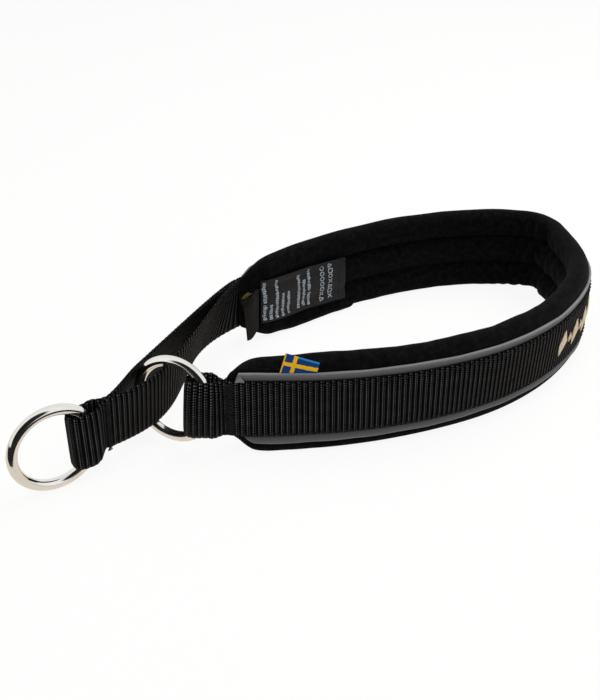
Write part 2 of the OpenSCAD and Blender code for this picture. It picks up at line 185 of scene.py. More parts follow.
# Bar tack of the control strap and centre of the leash ring: how far, and which way
STRAP_REACH, STRAP_TURN = 31.0, 216
LEASH_REACH = 21.6

# Lean of the band's lower and upper edges: distance along the band and reach
LOW_LEAN = ((-2.4, 2.0), (0, 2.3), (4, 2.7), (9, 3.2), (15, 3.2), (22, 2.6), (32, 1.8), (50, 1.3), (90, 1.0),
            (180, 1.1), (215, 0.3), (236, 0.9), (252, 0))
TOP_LEAN = ((60, 0), (110, 1.3), (150, 1.9), (180, 1.0), (203, 0.1), (214, -0.6), (224, -0.7), (233, 0),
            (239, 1.0), (247, 0.6), (256, 0))
# The lower roll leans a little further than the webbing's edge
LOW_SWELL = 0.25
SWELL_RUN = 8.0

# Tight bend of the band, where the back half turns on the front half
TIGHT_ARC = 4

# Camera fitted to the photograph's frame
FRAME_SIZE = (600, 700)
FOCAL_PX = 990.6
CAMERA_AT = (-14.5, -387.49, 253.8)
CAMERA_DOWN = 32.0


# Plan geometry

def columns(*parts):
    """Points from their coordinates, spread over one shape."""
    return np.stack(np.broadcast_arrays(*parts), -1)


def along(turn):
    """Unit vector that heads along turn, in degrees."""
    a = np.radians(turn)
    return columns(np.cos(a), np.sin(a))


def outward(turn):
    """Unit vector to the right of turn, which is the outer side of the band."""
    return along(np.asarray(turn) - 90)


def band_segments():
    """Runs of the band's middle line: distance, point and heading at the start, and curvature in degrees."""
    segments = []
    distance, point, turn = 0.0, FRONT_END, 0.0
    runs = [(FRONT_RUN, 0.0)] + [(r * math.radians(a), a) for r, a in ARCS] + [(TAIL_RUN, 0.0)]
    for length, angle in runs:
        segments.append((distance, point, turn, angle / length))
        if angle:
            radius = length / math.radians(angle)
            point = point + radius * (outward(turn + angle) - outward(turn))
        else:
            point = point + length * along(turn)
        distance, turn = distance + length, turn + angle
    return segments, distance


SEGMENTS, BAND_LEN = band_segments()
BEND_FROM = SEGMENTS[TIGHT_ARC][0]
BEND_TO = SEGMENTS[TIGHT_ARC + 1][0]
BEND_MID = (BEND_FROM + BEND_TO) / 2
TACK_LEASH = SLIDE_C + STRAP_REACH * along(STRAP_TURN)
LEASH_C = TACK_LEASH + LEASH_REACH * along(LEASH_TURN)


def band_at(s):
    """Plan points and headings at distances s along the band; beyond its ends it runs straight."""
    s = np.asarray(s, float)
    starts, points, turns, bends = (np.array(column) for column in zip(*SEGMENTS))
    k = np.clip(np.searchsorted(starts, s, "right") - 1, 0, len(SEGMENTS) - 1)
    points, turns, bends = points[k], turns[k], bends[k]
    run = s - starts[k]
    turn = turns + bends * run
    straight = bends == 0
    radius = 1 / np.radians(np.where(straight, 1.0, bends))
    arc = points + radius[..., None] * (outward(turn) - outward(turns))
    line = points + run[..., None] * along(turns)
    return np.where(straight[..., None], line, arc), turn


def step(x, start, end):
    """Share that grows smoothly from 0 where x is at start to 1 where it is at end."""
    k = np.clip((x - start) / (end - start), 0, 1)
    return k * k * (3 - 2 * k)


def hump(x, width):
    """Share that falls off from 1 at x = 0, by a width to both sides."""
    return np.exp(-(x / width) ** 2)


def flare(s, up):
    """How far the band leans out over its plan, at distance s along it and height up."""
    low = step(up, HALF_W, -HALF_W)
    swell = 1 + LOW_SWELL * step(-up, HALF_W, HALF_W + SWELL_RUN)
    return np.interp(s, *zip(*LOW_LEAN)) * low * swell + np.interp(s, *zip(*TOP_LEAN)) * (1 - low)


def on_band(s, out, up):
    """Points in space at distance s along the band, out from its middle line and up from its middle."""
    s, out, up = np.broadcast_arrays(np.asarray(s, float), out, up)
    point, turn = band_at(s)
    plan = point + (out + flare(s, up))[..., None] * outward(turn)
    return np.concatenate([plan, (MID_Z + up)[..., None]], -1)


def taper(d):
    """Share of the pad's full growth at distance d from its free end: a ramp with a rounded shoulder."""
    left = 1 - np.clip(d / TAPER_LEN, 0, None)
    short = np.sign(left) * np.abs(left) ** TAPER_ROUND
    return np.clip(1 - (short + np.hypot(short, SHOULDER)) / 2, 0, 1)


def thickness(d):
    """Share of the pad's thickness at distance d from its free end."""
    return END_SHARE + (1 - END_SHARE) * taper(d)


def half_height(d):
    """Half height of the pad at distance d from its free end."""
    low = HALF_W + END_LIP
    return low + (PAD_H / 2 - low) * taper(d)


def end_distance(s):
    """Distance from the nearer end of the pad; the front taper is stretched to match the back one."""
    return np.minimum((s + FRONT_FROM) * TAPER_LEN / FRONT_TAPER, BAND_LEN - s)


def ripple(x, wavelengths, seed):
    """Smooth noise of about unit size along x, as a sum of sines with seeded phases."""
    rng = np.random.default_rng(seed)
    waves = [np.sin(TURN * (np.asarray(x) / w + rng.random())) for w in wavelengths]
    return sum(waves) / math.sqrt(len(wavelengths))


# Meshes

def make_object(name, vertices, faces, uvs=None, material=None, smooth=True):
    """Mesh object from points in millimetres, with UVs in millimetres per vertex."""
    mesh = bpy.data.meshes.new(name)
    mesh.from_pydata((np.asarray(vertices) * MM).tolist(), [], faces)
    mesh.validate()
    if uvs is not None:
        layer = mesh.uv_layers.new(name="UVMap")
        loops = np.zeros(len(mesh.loops), np.int32)
        mesh.loops.foreach_get("vertex_index", loops)
        layer.data.foreach_set("uv", np.asarray(uvs, np.float32)[loops].ravel())
    shape = bmesh.new()
    shape.from_mesh(mesh)
    bmesh.ops.recalc_face_normals(shape, faces=shape.faces)
    shape.to_mesh(mesh)
    shape.free()
    mesh.polygons.foreach_set("use_smooth", [smooth] * len(mesh.polygons))
    mesh.update()
    if material is not None:
        mesh.materials.append(material)
    piece = bpy.data.objects.new(name, mesh)
    bpy.context.scene.collection.objects.link(piece)
    return piece


def lengths(points):
    """Distance along a line of points, at each of them."""
    return np.concatenate([[0], np.cumsum(norm(np.diff(points, axis=0), axis=1))])


def tube_faces(rows, columns, base=0):
    """Quads round a tube of rows by columns of points, then a cap at each end."""
    def at(j, i):
        return base + j * columns + i % columns

    faces = [(at(j, i), at(j, i + 1), at(j + 1, i + 1), at(j + 1, i))
             for j in range(rows - 1) for i in range(columns)]
    faces.append(tuple(at(0, i) for i in reversed(range(columns))))
    faces.append(tuple(at(rows - 1, i) for i in range(columns)))
    return faces


def loft(name, rings, uvs, material=None):
    """Closed tube through rings of points, an array of stations by points by three."""
    return make_object(name, rings.reshape(-1, 3), tube_faces(*rings.shape[:2]), uvs.reshape(-1, 2), material)


def thin_strip(name, front, back, uvs, material):
    """Closed thin strip between two grids of points, stations by rows by three."""
    rings, uvs = (np.concatenate([a, b[:, ::-1]], 1) for a, b in ((front, back), (uvs, uvs)))
    return loft(name, rings, uvs, material)


def tube_rings(path, radius, sides):
    """Rings of a round tube along a path of points; radius may vary along it."""
    radius = np.broadcast_to(radius, len(path))
    tangent = np.gradient(path, axis=0)
    tangent /= norm(tangent, axis=1)[:, None]
    helper = np.where(np.abs(tangent[:, 2:3]) > 0.9, [[1.0, 0, 0]], [[0, 0, 1.0]])
    side = np.cross(tangent, helper)
    side /= norm(side, axis=1)[:, None]
    lift = np.cross(side, tangent)
    q = np.linspace(0, TURN, sides, endpoint=False)
    spread = np.cos(q)[None, :, None] * side[:, None] + np.sin(q)[None, :, None] * lift[:, None]
    return path[:, None] + radius[:, None, None] * spread


def threads(name, paths, radius, material, sides=6):
    """One mesh of many short threads, each a round tube with closed, thinned ends."""
    vertices, faces, uvs = [], [], []
    for path in paths:
        thin = np.ones(len(path))
        thin[[0, -1]] = 0.35
        faces.extend(tube_faces(len(path), sides, len(vertices)))
        vertices.extend(tube_rings(path, radius * thin, sides).reshape(-1, 3).tolist())
        uvs.extend((run, i / sides) for run in lengths(path) for i in range(sides))
    return make_object(name, vertices, faces, uvs, material)


# Materials

class Value:
    """What a shader works out at each point; arithmetic on it adds math nodes."""

    def __init__(self, tree, socket):
        self.tree, self.socket = tree, socket

    def math(self, operation, *others):
        return self.tree.math(operation, self, *others)

    __add__ = partialmethod(math, "ADD")
    __sub__ = partialmethod(math, "SUBTRACT")
    __mul__ = partialmethod(math, "MULTIPLY")
    __truediv__ = partialmethod(math, "DIVIDE")
    __pow__ = partialmethod(math, "POWER")

    def wave(self, pitch):
        """Sine from -1 to 1 with one wave per pitch."""
        return (self * (TURN / pitch)).math("SINE")

    def crests(self, pitch):
        """Rounded crests from 0 to 1, one per pitch."""
        return self.wave(2 * pitch).math("ABSOLUTE")


class Tree:
    """A shader node tree whose nodes are added with short calls."""

    def __init__(self, tree):
        self.nodes, self.links = tree.nodes, tree.links

    def add(self, kind, **inputs):
        """New node with the named inputs fed."""
        node = self.nodes.new("ShaderNode" + kind)
        for name, value in inputs.items():
            self.feed(node.inputs[name], value)
        return node

    def out(self, kind, output=0, **inputs):
        return Value(self, self.add(kind, **inputs).outputs[output])

    def feed(self, socket, value):
        """Links a socket to a worked-out value, or sets it to a number or a colour."""
        if isinstance(value, Value):
            self.links.new(value.socket, socket)
        elif isinstance(value, tuple):
            socket.default_value = (*value, 1)
        else:
            socket.default_value = value

    def math(self, operation, *values):
        node = self.add("Math")
        node.operation = operation
        for socket, value in zip(node.inputs, values):
            self.feed(socket, value)
        return Value(self, node.outputs[0])

    def ramp(self, factor, stops):
        node = self.add("ValToRGB", Fac=factor)
        while len(node.color_ramp.elements) < len(stops):
            node.color_ramp.elements.new(0.5)
        for element, (place, color) in zip(node.color_ramp.elements, stops):
            element.position = place
            element.color = (*color, 1)
        return Value(self, node.outputs[0])

    def mix(self, factor, a, b):
        node = self.add("Mix")
        node.data_type = "RGBA"
        for number, value in ((0, factor), (6, a), (7, b)):
            self.feed(node.inputs[number], value)
        return Value(self, node.outputs[2])

    def by_ray(self, shader, other, share, *rays):
        """Mixes a shader with another one, which takes a share of the named kinds of rays."""
        path = self.add("LightPath")
        seen = [Value(self, path.outputs[f"Is {ray} Ray"]) for ray in rays]
        factor = seen[0] if len(seen) == 1 else self.math("MAXIMUM", *seen)
        mix = self.add("MixShader")
        for socket, value in zip(mix.inputs, (factor * share, shader, other)):
            self.feed(socket, value)
        return Value(self, mix.outputs[0])


class Shade(Tree):
    """A principled material."""

    def __init__(self, name, color, roughness, **sockets):
        self.material = bpy.data.materials.new(name)
        self.material.use_nodes = True
        super().__init__(self.material.node_tree)
        self.bsdf = self.nodes["Principled BSDF"]
        self.bsdf.inputs["Base Color"].default_value = (*color, 1)
        self.bsdf.inputs["Roughness"].default_value = roughness
        for socket, value in sockets.items():
            self.bsdf.inputs[socket.replace("_", " ")].default_value = value

    def uv(self):
        split = self.add("SeparateXYZ", Vector=self.out("UVMap", "UV"))
        return Value(self, split.outputs["X"]), Value(self, split.outputs["Y"])

    def noise(self, x, y, scale, detail):
        place = self.out("CombineXYZ", X=x, Y=y)
        return self.out("TexNoise", "Fac", Vector=place, Scale=scale, Detail=detail)

    def base(self, color):
        self.feed(self.bsdf.inputs["Base Color"], color)

    def rough(self, value):
        self.feed(self.bsdf.inputs["Roughness"], value)

    def bump(self, height, distance_mm, strength):
        bumped = self.out("Bump", Height=height, Distance=distance_mm * MM, Strength=strength)
        self.feed(self.bsdf.inputs["Normal"], bumped)


def lining_material():
    """Soft black knit: fine courses along the band, a nap with painted highlights on its stitch crests, and
    lint.
    """
    m = Shade("lining_knit", (0.003, 0.003, 0.0033), 0.85, Sheen_Weight=0.025, Sheen_Roughness=0.5,
              Specular_IOR_Level=0.03)
    u, v = m.uv()
    knit = v.crests(0.95) * u.crests(1.1)
    # The knit's stitch crests are painted lighter, a painted highlight; the noise adds lint and uneven tone
    knit_glint_and_lint = knit * 0.34 + m.noise(u, v, 0.35, 5.0)
    m.base(m.ramp(knit_glint_and_lint, [(0.35, (0.001, 0.001, 0.0012)), (0.7, (0.0036, 0.0036, 0.0039)),
                        (1.0, (0.0115, 0.0115, 0.012))]))
    m.bump(knit + m.noise(u, v, 1.6, 4.0), 0.14, 0.9)
    return m.material


def webbing_material():
    """Black nylon: a painted glint along each rib's crest and painted glinting dots beside it, where the warp
    yarns cross it in small floats, and painted shade in the furrows.
    """
    m = Shade("webbing_nylon", (0.003, 0.003, 0.0033), 0.5, Specular_IOR_Level=0.03)
    u, v = m.uv()
    # The floats are set off by half a yarn from one rib to the next
    rib = m.math("FLOOR", u / RIB_PITCH)
    floats = (v / YARN_PITCH + rib * 0.5).crests(1.0)
    crest = u.crests(RIB_PITCH)
    flank = (u + RIB_FLANK).crests(RIB_PITCH)
    fuzz = m.noise(u, v, 2.5, 3.0)
    patch = m.noise(u * 0.35, v, 0.3, 2.0)
    height = floats * crest + fuzz * 0.4
    beads = floats ** 2.0
    # Painted highlights: a thin glint line on each crest and glinting dots on its flank, brightest on the
    # floats
    line = crest ** 26.0 * (beads * 1.1 + 0.08)
    painted_flank_glints = flank ** 10.0 * beads
    painted_glint = (line + painted_flank_glints * 0.6) * (fuzz + patch)
    # The colour is darker in the furrows, as painted shade, and lighter where the painted glints are
    m.base(m.ramp(height * 0.1 + painted_glint, [(0.03, (0.0004, 0.0004, 0.0005)), (0.2, (0.003, 0.003, 0.0033)),
                                         (0.5, (0.03, 0.03, 0.031)), (0.95, (0.13, 0.13, 0.134))]))
    m.rough(fuzz * 0.25 + 0.38)
    m.bump(height, 0.22, 0.9)
    return m.material


def piping_material():
    """Grey reflective tape: a very fine weave with a soft sheen, with painted light that is brightest along
    its fold and painted shade towards its foot by the webbing.
    """
    m = Shade("piping_tape", (0.085, 0.089, 0.098), 0.45, Specular_IOR_Level=0.35, Metallic=0.15)
    u, v = m.uv()
    cloud = m.noise(u * 0.25, v, 0.9, 3.0)
    # Painted light: the colour grows lighter across the tape towards its fold and darker towards its foot
    across = v / 5.0 + cloud * 0.12
    m.base(m.ramp(across, [(0.1, (0.055, 0.058, 0.064)), (0.5, (0.083, 0.087, 0.096)),
                           (0.8, (0.115, 0.12, 0.13)), (0.92, (0.21, 0.216, 0.23))]))
    m.rough(cloud * 0.15 + 0.36)
    m.bump(v.wave(0.45) * u.wave(0.45) + cloud * 0.6, 0.04, 0.5)
    return m.material


def thread_material(name, dark, light, sheen, specular):
    """Twisted thread: fine plies along each stitch, with a painted glint on each ply's crest and painted
    shade between the plies.
    """
    m = Shade(name, dark, 0.55, Sheen_Weight=sheen, Specular_IOR_Level=specular)
    u, v = m.uv()
    twist = (u / TWIST_PITCH + v).wave(1.0)
    # The light colour is a painted glint on the plies' crests, the dark one painted shade between them
    m.base(m.ramp(twist * 0.5 + 0.5, [(0.15, dark), (0.85, light)]))
    m.bump(twist, 0.05, 0.7)
    return m.material


def steel_material():
    """Polished nickel plate with faint smears and scratches."""
    m = Shade("ring_nickel", (0.86, 0.845, 0.81), 0.1, Metallic=1.0)
    place = m.out("TexCoord", "Object")
    smear, cloud, scratch = (m.out("TexNoise", "Fac", Vector=place, Scale=scale, Detail=detail)
                             for scale, detail in ((320.0, 4.0), (140.0, 3.0), (900.0, 2.0)))
    m.rough(smear * 0.12 + 0.05)
    m.base(m.ramp(cloud, [(0.3, (0.8, 0.785, 0.745)), (0.7, (0.89, 0.88, 0.85))]))
    m.bump(scratch, 0.02, 0.12)
    return m.material


def satin_material(name, dark, light):
    """Satin ribbon: fine floats along the ribbon with a soft gloss."""
    m = Shade(name, dark, 0.48, Specular_IOR_Level=0.14)
    u, v = m.uv()
    weave = v.wave(0.32) * u.wave(0.5) * 0.25 + m.noise(u, v, 0.7, 4.0)
    m.base(m.ramp(weave, [(0.3, dark), (0.7, light)]))
    m.bump(weave, 0.05, 0.5)
    return m.material


def flag_material():
    """Woven tab: yellow cross and left edge on blue, in small float stitches."""
    blue, light_blue, dark_blue = (0.003, 0.05, 0.21), (0.04, 0.28, 0.62), (0.002, 0.015, 0.05)
    yellow, dark_yellow = (0.95, 0.52, 0.008), (0.3, 0.15, 0.005)
    m = Shade("flag_weave", blue, 0.65, Specular_IOR_Level=0.15)
    u, v = m.uv()
    ragged = (m.noise(u, v, 2.4, 2.0) - 0.5) * 0.75
    upright = m.math("COMPARE", u + ragged, CROSS_AT[0], CROSS_HALF)
    # The level bar rises a little towards the free end
    level = m.math("COMPARE", v + ragged - u * 0.09, CROSS_AT[1], CROSS_HALF)
    bound = m.math("LESS_THAN", u + ragged, 0.55)
    cross = m.math("MAXIMUM", m.math("MAXIMUM", upright, level), bound)
    rim = m.math("GREATER_THAN", v + ragged, FLAG_H - 0.7) * m.math("GREATER_THAN", u, 5.2)
    weave = u.wave(0.8) * v.wave(0.7) * 0.4 + 0.5
    ground = m.mix(weave * 0.6, m.mix(rim, blue, light_blue), dark_blue)
    m.base(m.mix(cross, ground, m.mix(weave * 0.55, yellow, dark_yellow)))
    m.bump(weave, 0.12, 0.9)
    return m.material


LINING = lining_material()
WEBBING = webbing_material()
PIPING = piping_material()
# Each thread's second colour is the painted glint on its plies, the first the painted shade between them
BLACK_THREAD = thread_material("thread_black", (0.001, 0.001, 0.0012), (0.024, 0.024, 0.025), 0.02, 0.1)
GOLD_THREAD = thread_material("thread_gold", (0.06, 0.04, 0.008), (0.27, 0.19, 0.045), 0.1, 0.3)
CREAM_THREAD = thread_material("thread_cream", (0.78, 0.6, 0.4), (0.95, 0.82, 0.63), 0.15, 0.4)
STEEL = steel_material()
LABEL_SATIN = satin_material("label_satin", (0.012, 0.012, 0.013), (0.025, 0.025, 0.0265))
LABEL_PRINT = satin_material("label_print", (0.26, 0.3, 0.34), (0.46, 0.51, 0.56))
TAIL_RIBBON = satin_material("tail_ribbon", (0.0055, 0.0055, 0.006), (0.011, 0.011, 0.0115))
FLAG_WEAVE = flag_material()


# Padded band

def pad_section():
    """Outline of the pad as [out, up] points, anticlockwise from the outer face."""
    def roll(first, last, side):
        q = np.radians(np.linspace(first, last, 17))
        return columns(ROLL_OUT + ROLL_R * np.cos(q), side * ROLL_UP + ROLL_R * np.sin(q))

    def channel(crown, across, up):
        bulge = np.cos(np.pi / 2 * across) ** CHANNEL_POWER
        return columns(-SEAM - (crown - SEAM) * bulge, up)

    share = np.linspace(0, 1, 11)[1:]
    upper = channel(PAD_T - FACE, share, ROLL_UP + (SEAM_UP - ROLL_UP) * share)
    mid_up = SEAM_UP * np.cos(np.linspace(0, np.pi, 19))[1:-1]
    middle = channel(CROWN, mid_up / SEAM_UP, mid_up)
    lower = upper[::-1] * [1, -1]
    face_up = np.linspace(-ROLL_UP, ROLL_UP, 13)[1:-1]
    face = columns(FACE, face_up)
    return np.concatenate([roll(0, 180, 1), upper, middle, lower, roll(180, 360, -1), face])


def bend_folds(s, up, inward):
    """Depth of the soft folds that the inner lining makes where the band bends tightly."""
    s = s - BEND_MID
    total = 0
    for place, slope, depth, width in FOLDS:
        wander = slope * up + 0.6 * np.sin(up / 3.1 + place)
        total = total + depth * hump(s - place - wander, width)
    pinch = PINCH * step(-up, 10, 16) * hump(s - PINCH_AT, PINCH_W)
    return (total * step(up, ROLL_UP + 3.5, ROLL_UP - 0.5) + pinch) * inward


def settle(rings, free, tight):
    """Lining swollen over its filling by a short cloth simulation; free is 0 where it is sewn down.

    The cloth is cut a little too long, most of all where tight is 1, so that it wrinkles there."""
    rows = np.unique(np.append(np.arange(0, len(rings), 2), len(rings) - 1))
    start = rings[rows]
    cloth = loft("lining_cloth", start * SIM_SCALE, np.zeros((*start.shape[:2], 2)))
    for name, weights in (("held", 1 - free[rows]), ("slack", tight[rows])):
        group = cloth.vertex_groups.new(name=name)
        for i, weight in enumerate(weights.ravel()):
            group.add([i], float(weight), "REPLACE")
    modifier = cloth.modifiers.new("cloth", "CLOTH")
    for name, value in CLOTH.items():
        setattr(modifier.settings, name, value)
    modifier.settings.effector_weights.gravity = 0
    modifier.collision_settings.use_collision = False
    modifier.point_cache.frame_end = SIM_FRAMES
    scene = bpy.context.scene
    for number in range(1, SIM_FRAMES + 1):
        scene.frame_set(number)
    posed = cloth.evaluated_get(bpy.context.evaluated_depsgraph_get())
    end = np.empty(start.size)
    posed.data.vertices.foreach_get("co", end)
    scene.frame_set(1)
    bpy.data.objects.remove(cloth)
    moved = end.reshape(start.shape) / (SIM_SCALE * MM) - start
    length = norm(moved, axis=-1, keepdims=True)
    moved *= np.minimum(1, SIM_CAP / np.maximum(length, 1e-6)) * free[rows][..., None]
    flat = moved.reshape(len(rows), -1)
    every = np.arange(len(rings))
    shift = np.stack([np.interp(every, rows, flat[:, k]) for k in range(flat.shape[1])], 1)
    return rings + shift.reshape(rings.shape)


def make_pad():
    """Lining over the foam: rolled edges, quilted channels, drawn-in ends and folds at the bend."""
    section = pad_section()
    s = np.unique(np.concatenate([np.linspace(-END_RUN, 2, 10), np.arange(2, BAND_LEN - 2, 1.25),
                                  np.linspace(BAND_LEN - 2, BAND_LEN, 6)]))
    S, OUT = np.meshgrid(s, section[:, 0], indexing="ij")
    height = np.abs(section[:, 1])
    d = end_distance(S)
    inward = step(OUT, FACE - 1.5, FACE - 5.5)
    # Height and thickness are drawn in towards the sewn ends
    tucked = step(S, TUCK_FROM, -END_RUN)
    UP = section[:, 1] * half_height(d) / (PAD_H / 2) * (1 - TUCK_LOW * tucked)
    OUT = FACE - (FACE - OUT) * thickness(d) * (1 - TUCK_IN * tucked)
    OUT = OUT - (WEB_T + 2 * LAY_GAP) * step(S, TUCK_FROM, -TUCK_FROM)
    # Soft unevenness of the filling, puckers along the seams and folds at the bend
    soft = SOFT_WIDE * ripple(S + 0.7 * UP, (23, 37, 61), SEED)
    soft = soft + SOFT_NARROW * ripple(S - 1.3 * UP, (11, 17), SEED + 1)
    pucker = PUCKER * np.sin(TURN * S / PUCKER_PITCH + 0.35 * UP) * hump(np.abs(UP) - SEAM_UP, SEAM_NEAR)
    OUT = OUT + inward * (soft + pucker) + bend_folds(S, UP, inward)
    # The lower roll swells out under the piping near the front end, and inwards behind the care label
    low_roll = step(-UP, HALF_W + PIPING_H - 1, HALF_W + PIPING_H + 1)
    behind = inward * step(d, 16, 30) * step(d, 68, 64) * (S > BAND_LEN / 2)
    OUT = OUT + FRONT_SWELL * low_roll * step(S, 0, 9) * step(S, 85, 25)
    OUT = OUT - LABEL_SWELL * low_roll * behind
    # The upper roll is drawn down near the front end, and waves; the lower one rests on the table
    UP = UP - TOP_DRAW * step(UP, HALF_W + PIPING_H, HALF_W + PIPING_H + 4) * step(S, 36, 10)
    lift = step(height, ROLL_UP, ROLL_UP + 2)[None] * (UP > 0)
    UP = np.maximum(UP + EDGE_WAVE * lift * ripple(S, (29, 47, 73), SEED + 2), -MID_Z)
    # The inner channels are free to swell between their seams, but not under the care label
    channel = step(height, ROLL_UP + 1, ROLL_UP - 2) * (1 - hump(height - SEAM_UP, 1.1))
    label_end = BAND_LEN - LABEL_FROM - LABEL_LEN
    free = inward * channel * step(S, 6, 16) * step(S, label_end, label_end - 10)
    rings = settle(on_band(S, OUT, UP), free, inward * hump(S - BEND_MID, 16))
    return loft("padded_lining", rings, columns(S, lengths(section)), LINING)


def ride_on(body, piece, node=None):
    """The piece moves with one body, and may stand in for a node of the CAD model."""
    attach(piece, body)
    if node:
        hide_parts(node)


def bend_with_band(piece):
    """Bakes the piece's placement into its mesh."""
    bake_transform(piece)


pad = make_pad()
bend_with_band(pad)
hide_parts("lining_front", "lining_bend", "lining_back", "foam_front", "foam_bend", "foam_back")


# Piping

def make_piping(name, side, start, lead, ease):
    """Folded tape beside the webbing, brightest along its rounded fold, partly from its shape and partly from
    painted highlight; it tucks in at the band's ends.

    At the front its foot runs ahead of its fold by lead, and it reaches its full height after ease."""
    s = np.concatenate([start + np.arange(0, 2, 0.25), np.arange(math.ceil(start + 2), BAND_LEN - 3.0, 1.0)])
    profile = np.array([(0.0, -0.15), (0.35, -0.06), (0.58, 0.15), (0.76, 0.38), (0.92, 0.62), (1.0, 0.8),
                        (0.9, 0.93), (0.5, 1.0), (0.0, 0.95)])
    S, T = np.meshgrid(s, profile[:, 0], indexing="ij")
    share = profile[:, 1]
    S = S - lead * (1 - share) * np.exp((start - S) / 4)
    low = HALF_W + LAY_GAP
    shown = PIPING_H * (np.interp(S, *zip(*LOW_PIPING)) if side < 0 else 1)
    high = np.minimum(HALF_W + shown, half_height(end_distance(S)) - END_LIP / 2)
    wave = 0.12 * ripple(S, (19, 31, 53), SEED + 5 + side)
    tuck = 1 - (1 - np.clip((S - start + lead) / ease, 0, 1)) ** 2.2
    tuck = tuck * step(S, BAND_LEN - 2, BAND_LEN - 10)
    up = low + (high + wave - low) * tuck * share
    rings = on_band(S, WEB_LOW + T * (PIPING_T + 0.5 * wave), side * up)
    uvs = columns(S, lengths(profile * [PIPING_T, PIPING_H]))
    piping = loft(name, rings, uvs, PIPING)
    bend_with_band(piping)
    return piping


def make_piping_fold():
    """Turned-in corner at the front end of the upper piping."""
    left, top, right = np.array([(1.9, HALF_W - 0.4), (3.7, HALF_W + 3.6), (6.0, HALF_W - 0.3)])
    share = np.linspace(0, 1, 13)
    rise = share[:, None, None]
    flat = (left + (right - left) * share[:, None]) * (1 - rise) + top * rise
    crown = 0.12 + 0.42 * hump(np.abs(2 * share - 1) - 0.72, 0.22)
    base = WEB_LOW + PIPING_T - 0.3
    front, back = (on_band(flat[..., 0], out, flat[..., 1]) for out in (base + 0.1 + crown, base))
    fold = thin_strip("piping_upper_fold", front, back, flat, PIPING)
    ride_on("band_front", fold)


for word, side, start, lead, ease in (("upper", 1, 3.6, 1.6, 1.0), ("lower", -1, 5.0, 0.0, 6.0)):
    piping = make_piping(f"piping_{word}", side, start, lead, ease)
    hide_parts(*[f"piping_{word}_{part}" for part in ("front", "bend", "back")])
make_piping_fold()


# Ribbed webbing

ACROSS = np.linspace(-1, 1, 15)


def webbing_strip(names, lines, cuts, middle=MID_Z, ribs_from=0.0):
    """Ribbed strip along plan lines, one for each height from its lower edge up.

    middle is the height of the strip's middle at each point. The strip is parted at the cuts, which are
    numbers of points, into one piece per name."""
    lines = np.asarray(lines, float)
    run = lengths(lines[len(lines) // 2])
    fine = np.arange(0, run[-1], RIB_PITCH / 8)
    dense = np.stack([columns(*(np.interp(fine, run, part) for part in line.T)) for line in lines])
    tangent = np.gradient(dense, axis=1)
    tangent /= norm(tangent, axis=2)[..., None]
    normal = columns(tangent[..., 1], -tangent[..., 0])
    # Ribs rise from 0 in the furrows to 1 on the crests
    ribs = np.sqrt(np.abs(np.sin(np.pi * (fine + ribs_from) / RIB_PITCH)))
    edge = np.sqrt(np.clip(1 - np.abs(ACROSS) ** 10, 0.05, 1))
    half = edge[:, None] * (WEB_T / 2 - RIB_H + RIB_H * ribs)
    height = np.interp(fine, run, np.broadcast_to(middle, len(run)))
    up = height + ACROSS[:, None] * (HALF_W - RIB_NICK + RIB_NICK * ribs)
    front, rear = (np.concatenate([dense + sign * half[..., None] * normal, up[..., None]], -1)
                   for sign in (1, -1))
    rings = np.concatenate([front, rear[::-1]], 0).transpose(1, 0, 2)
    v = ACROSS * HALF_W
    uv_across = np.concatenate([v, v[::-1] + 2 * WEB_W])
    uvs = columns((fine + ribs_from)[:, None], uv_across)
    stops = [0, *np.searchsorted(fine, run[list(cuts)]), len(fine) - 1]
    pieces = []
    for name, first, last in zip(names, stops, stops[1:]):
        piece = loft(name, rings[first:last + 1], uvs[first:last + 1], WEBBING)
        for cap in piece.data.polygons[-2:]:
            cap.use_smooth = False
        pieces.append(piece)
    return pieces


class RingLoop:
    """A webbing loop that leaves its tack along a heading, goes round a ring's wire and comes back."""

    def __init__(self, centre, turn, lean, tack, heading):
        self.centre, self.turn, self.lean = centre, turn, math.radians(lean)
        self.tack, self.heading = tack, heading

    def wire_at(self, up):
        """Reach and side of the ring's wire at height up, from the tack."""
        b = up / math.cos(self.lean)
        wire = self.centre - math.sqrt(RING_R ** 2 - b ** 2) * along(self.turn)
        wire = wire + b * math.sin(self.lean) * outward(self.turn) - self.tack
        return wire @ along(self.heading), wire @ along(self.heading + 90)

    def lines(self, side_a, side_b):
        """Plan lines at each height, from side_a of the tack round the wire to side_b."""
        edge = math.sqrt(RING_R ** 2 - HALF_W ** 2) - math.sqrt((RING_ID / 2) ** 2 - HALF_W ** 2)
        tips = [self.wire_at(up)[0] + edge + RING_GAP + WEB_T / 2 - LOOP_HALF for up in (-HALF_W, HALF_W)]
        lines = []
        for up in ACROSS * HALF_W:
            side = self.wire_at(up)[1]
            core = np.interp(up, (-HALF_W, HALF_W), tips)
            u = np.linspace(0, core, 24)
            grow = step(u, 0, self.wire_at(0)[0])
            q = np.radians(np.linspace(90, -90, 25))[1:-1]
            arc = columns(core + LOOP_HALF * np.cos(q), side + LOOP_HALF * np.sin(q))
            first = columns(u, side_a + (side + LOOP_HALF - side_a) * grow)
            second = columns(u, side_b + (side - LOOP_HALF - side_b) * grow)[::-1]
            local = np.concatenate([first, arc, second])
            lines.append(self.tack + local @ along([self.heading, self.heading + 90]))
        return np.array(lines)

    def swing(self, loop):
        """Bakes the loop's placement into its mesh."""
        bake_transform(loop)


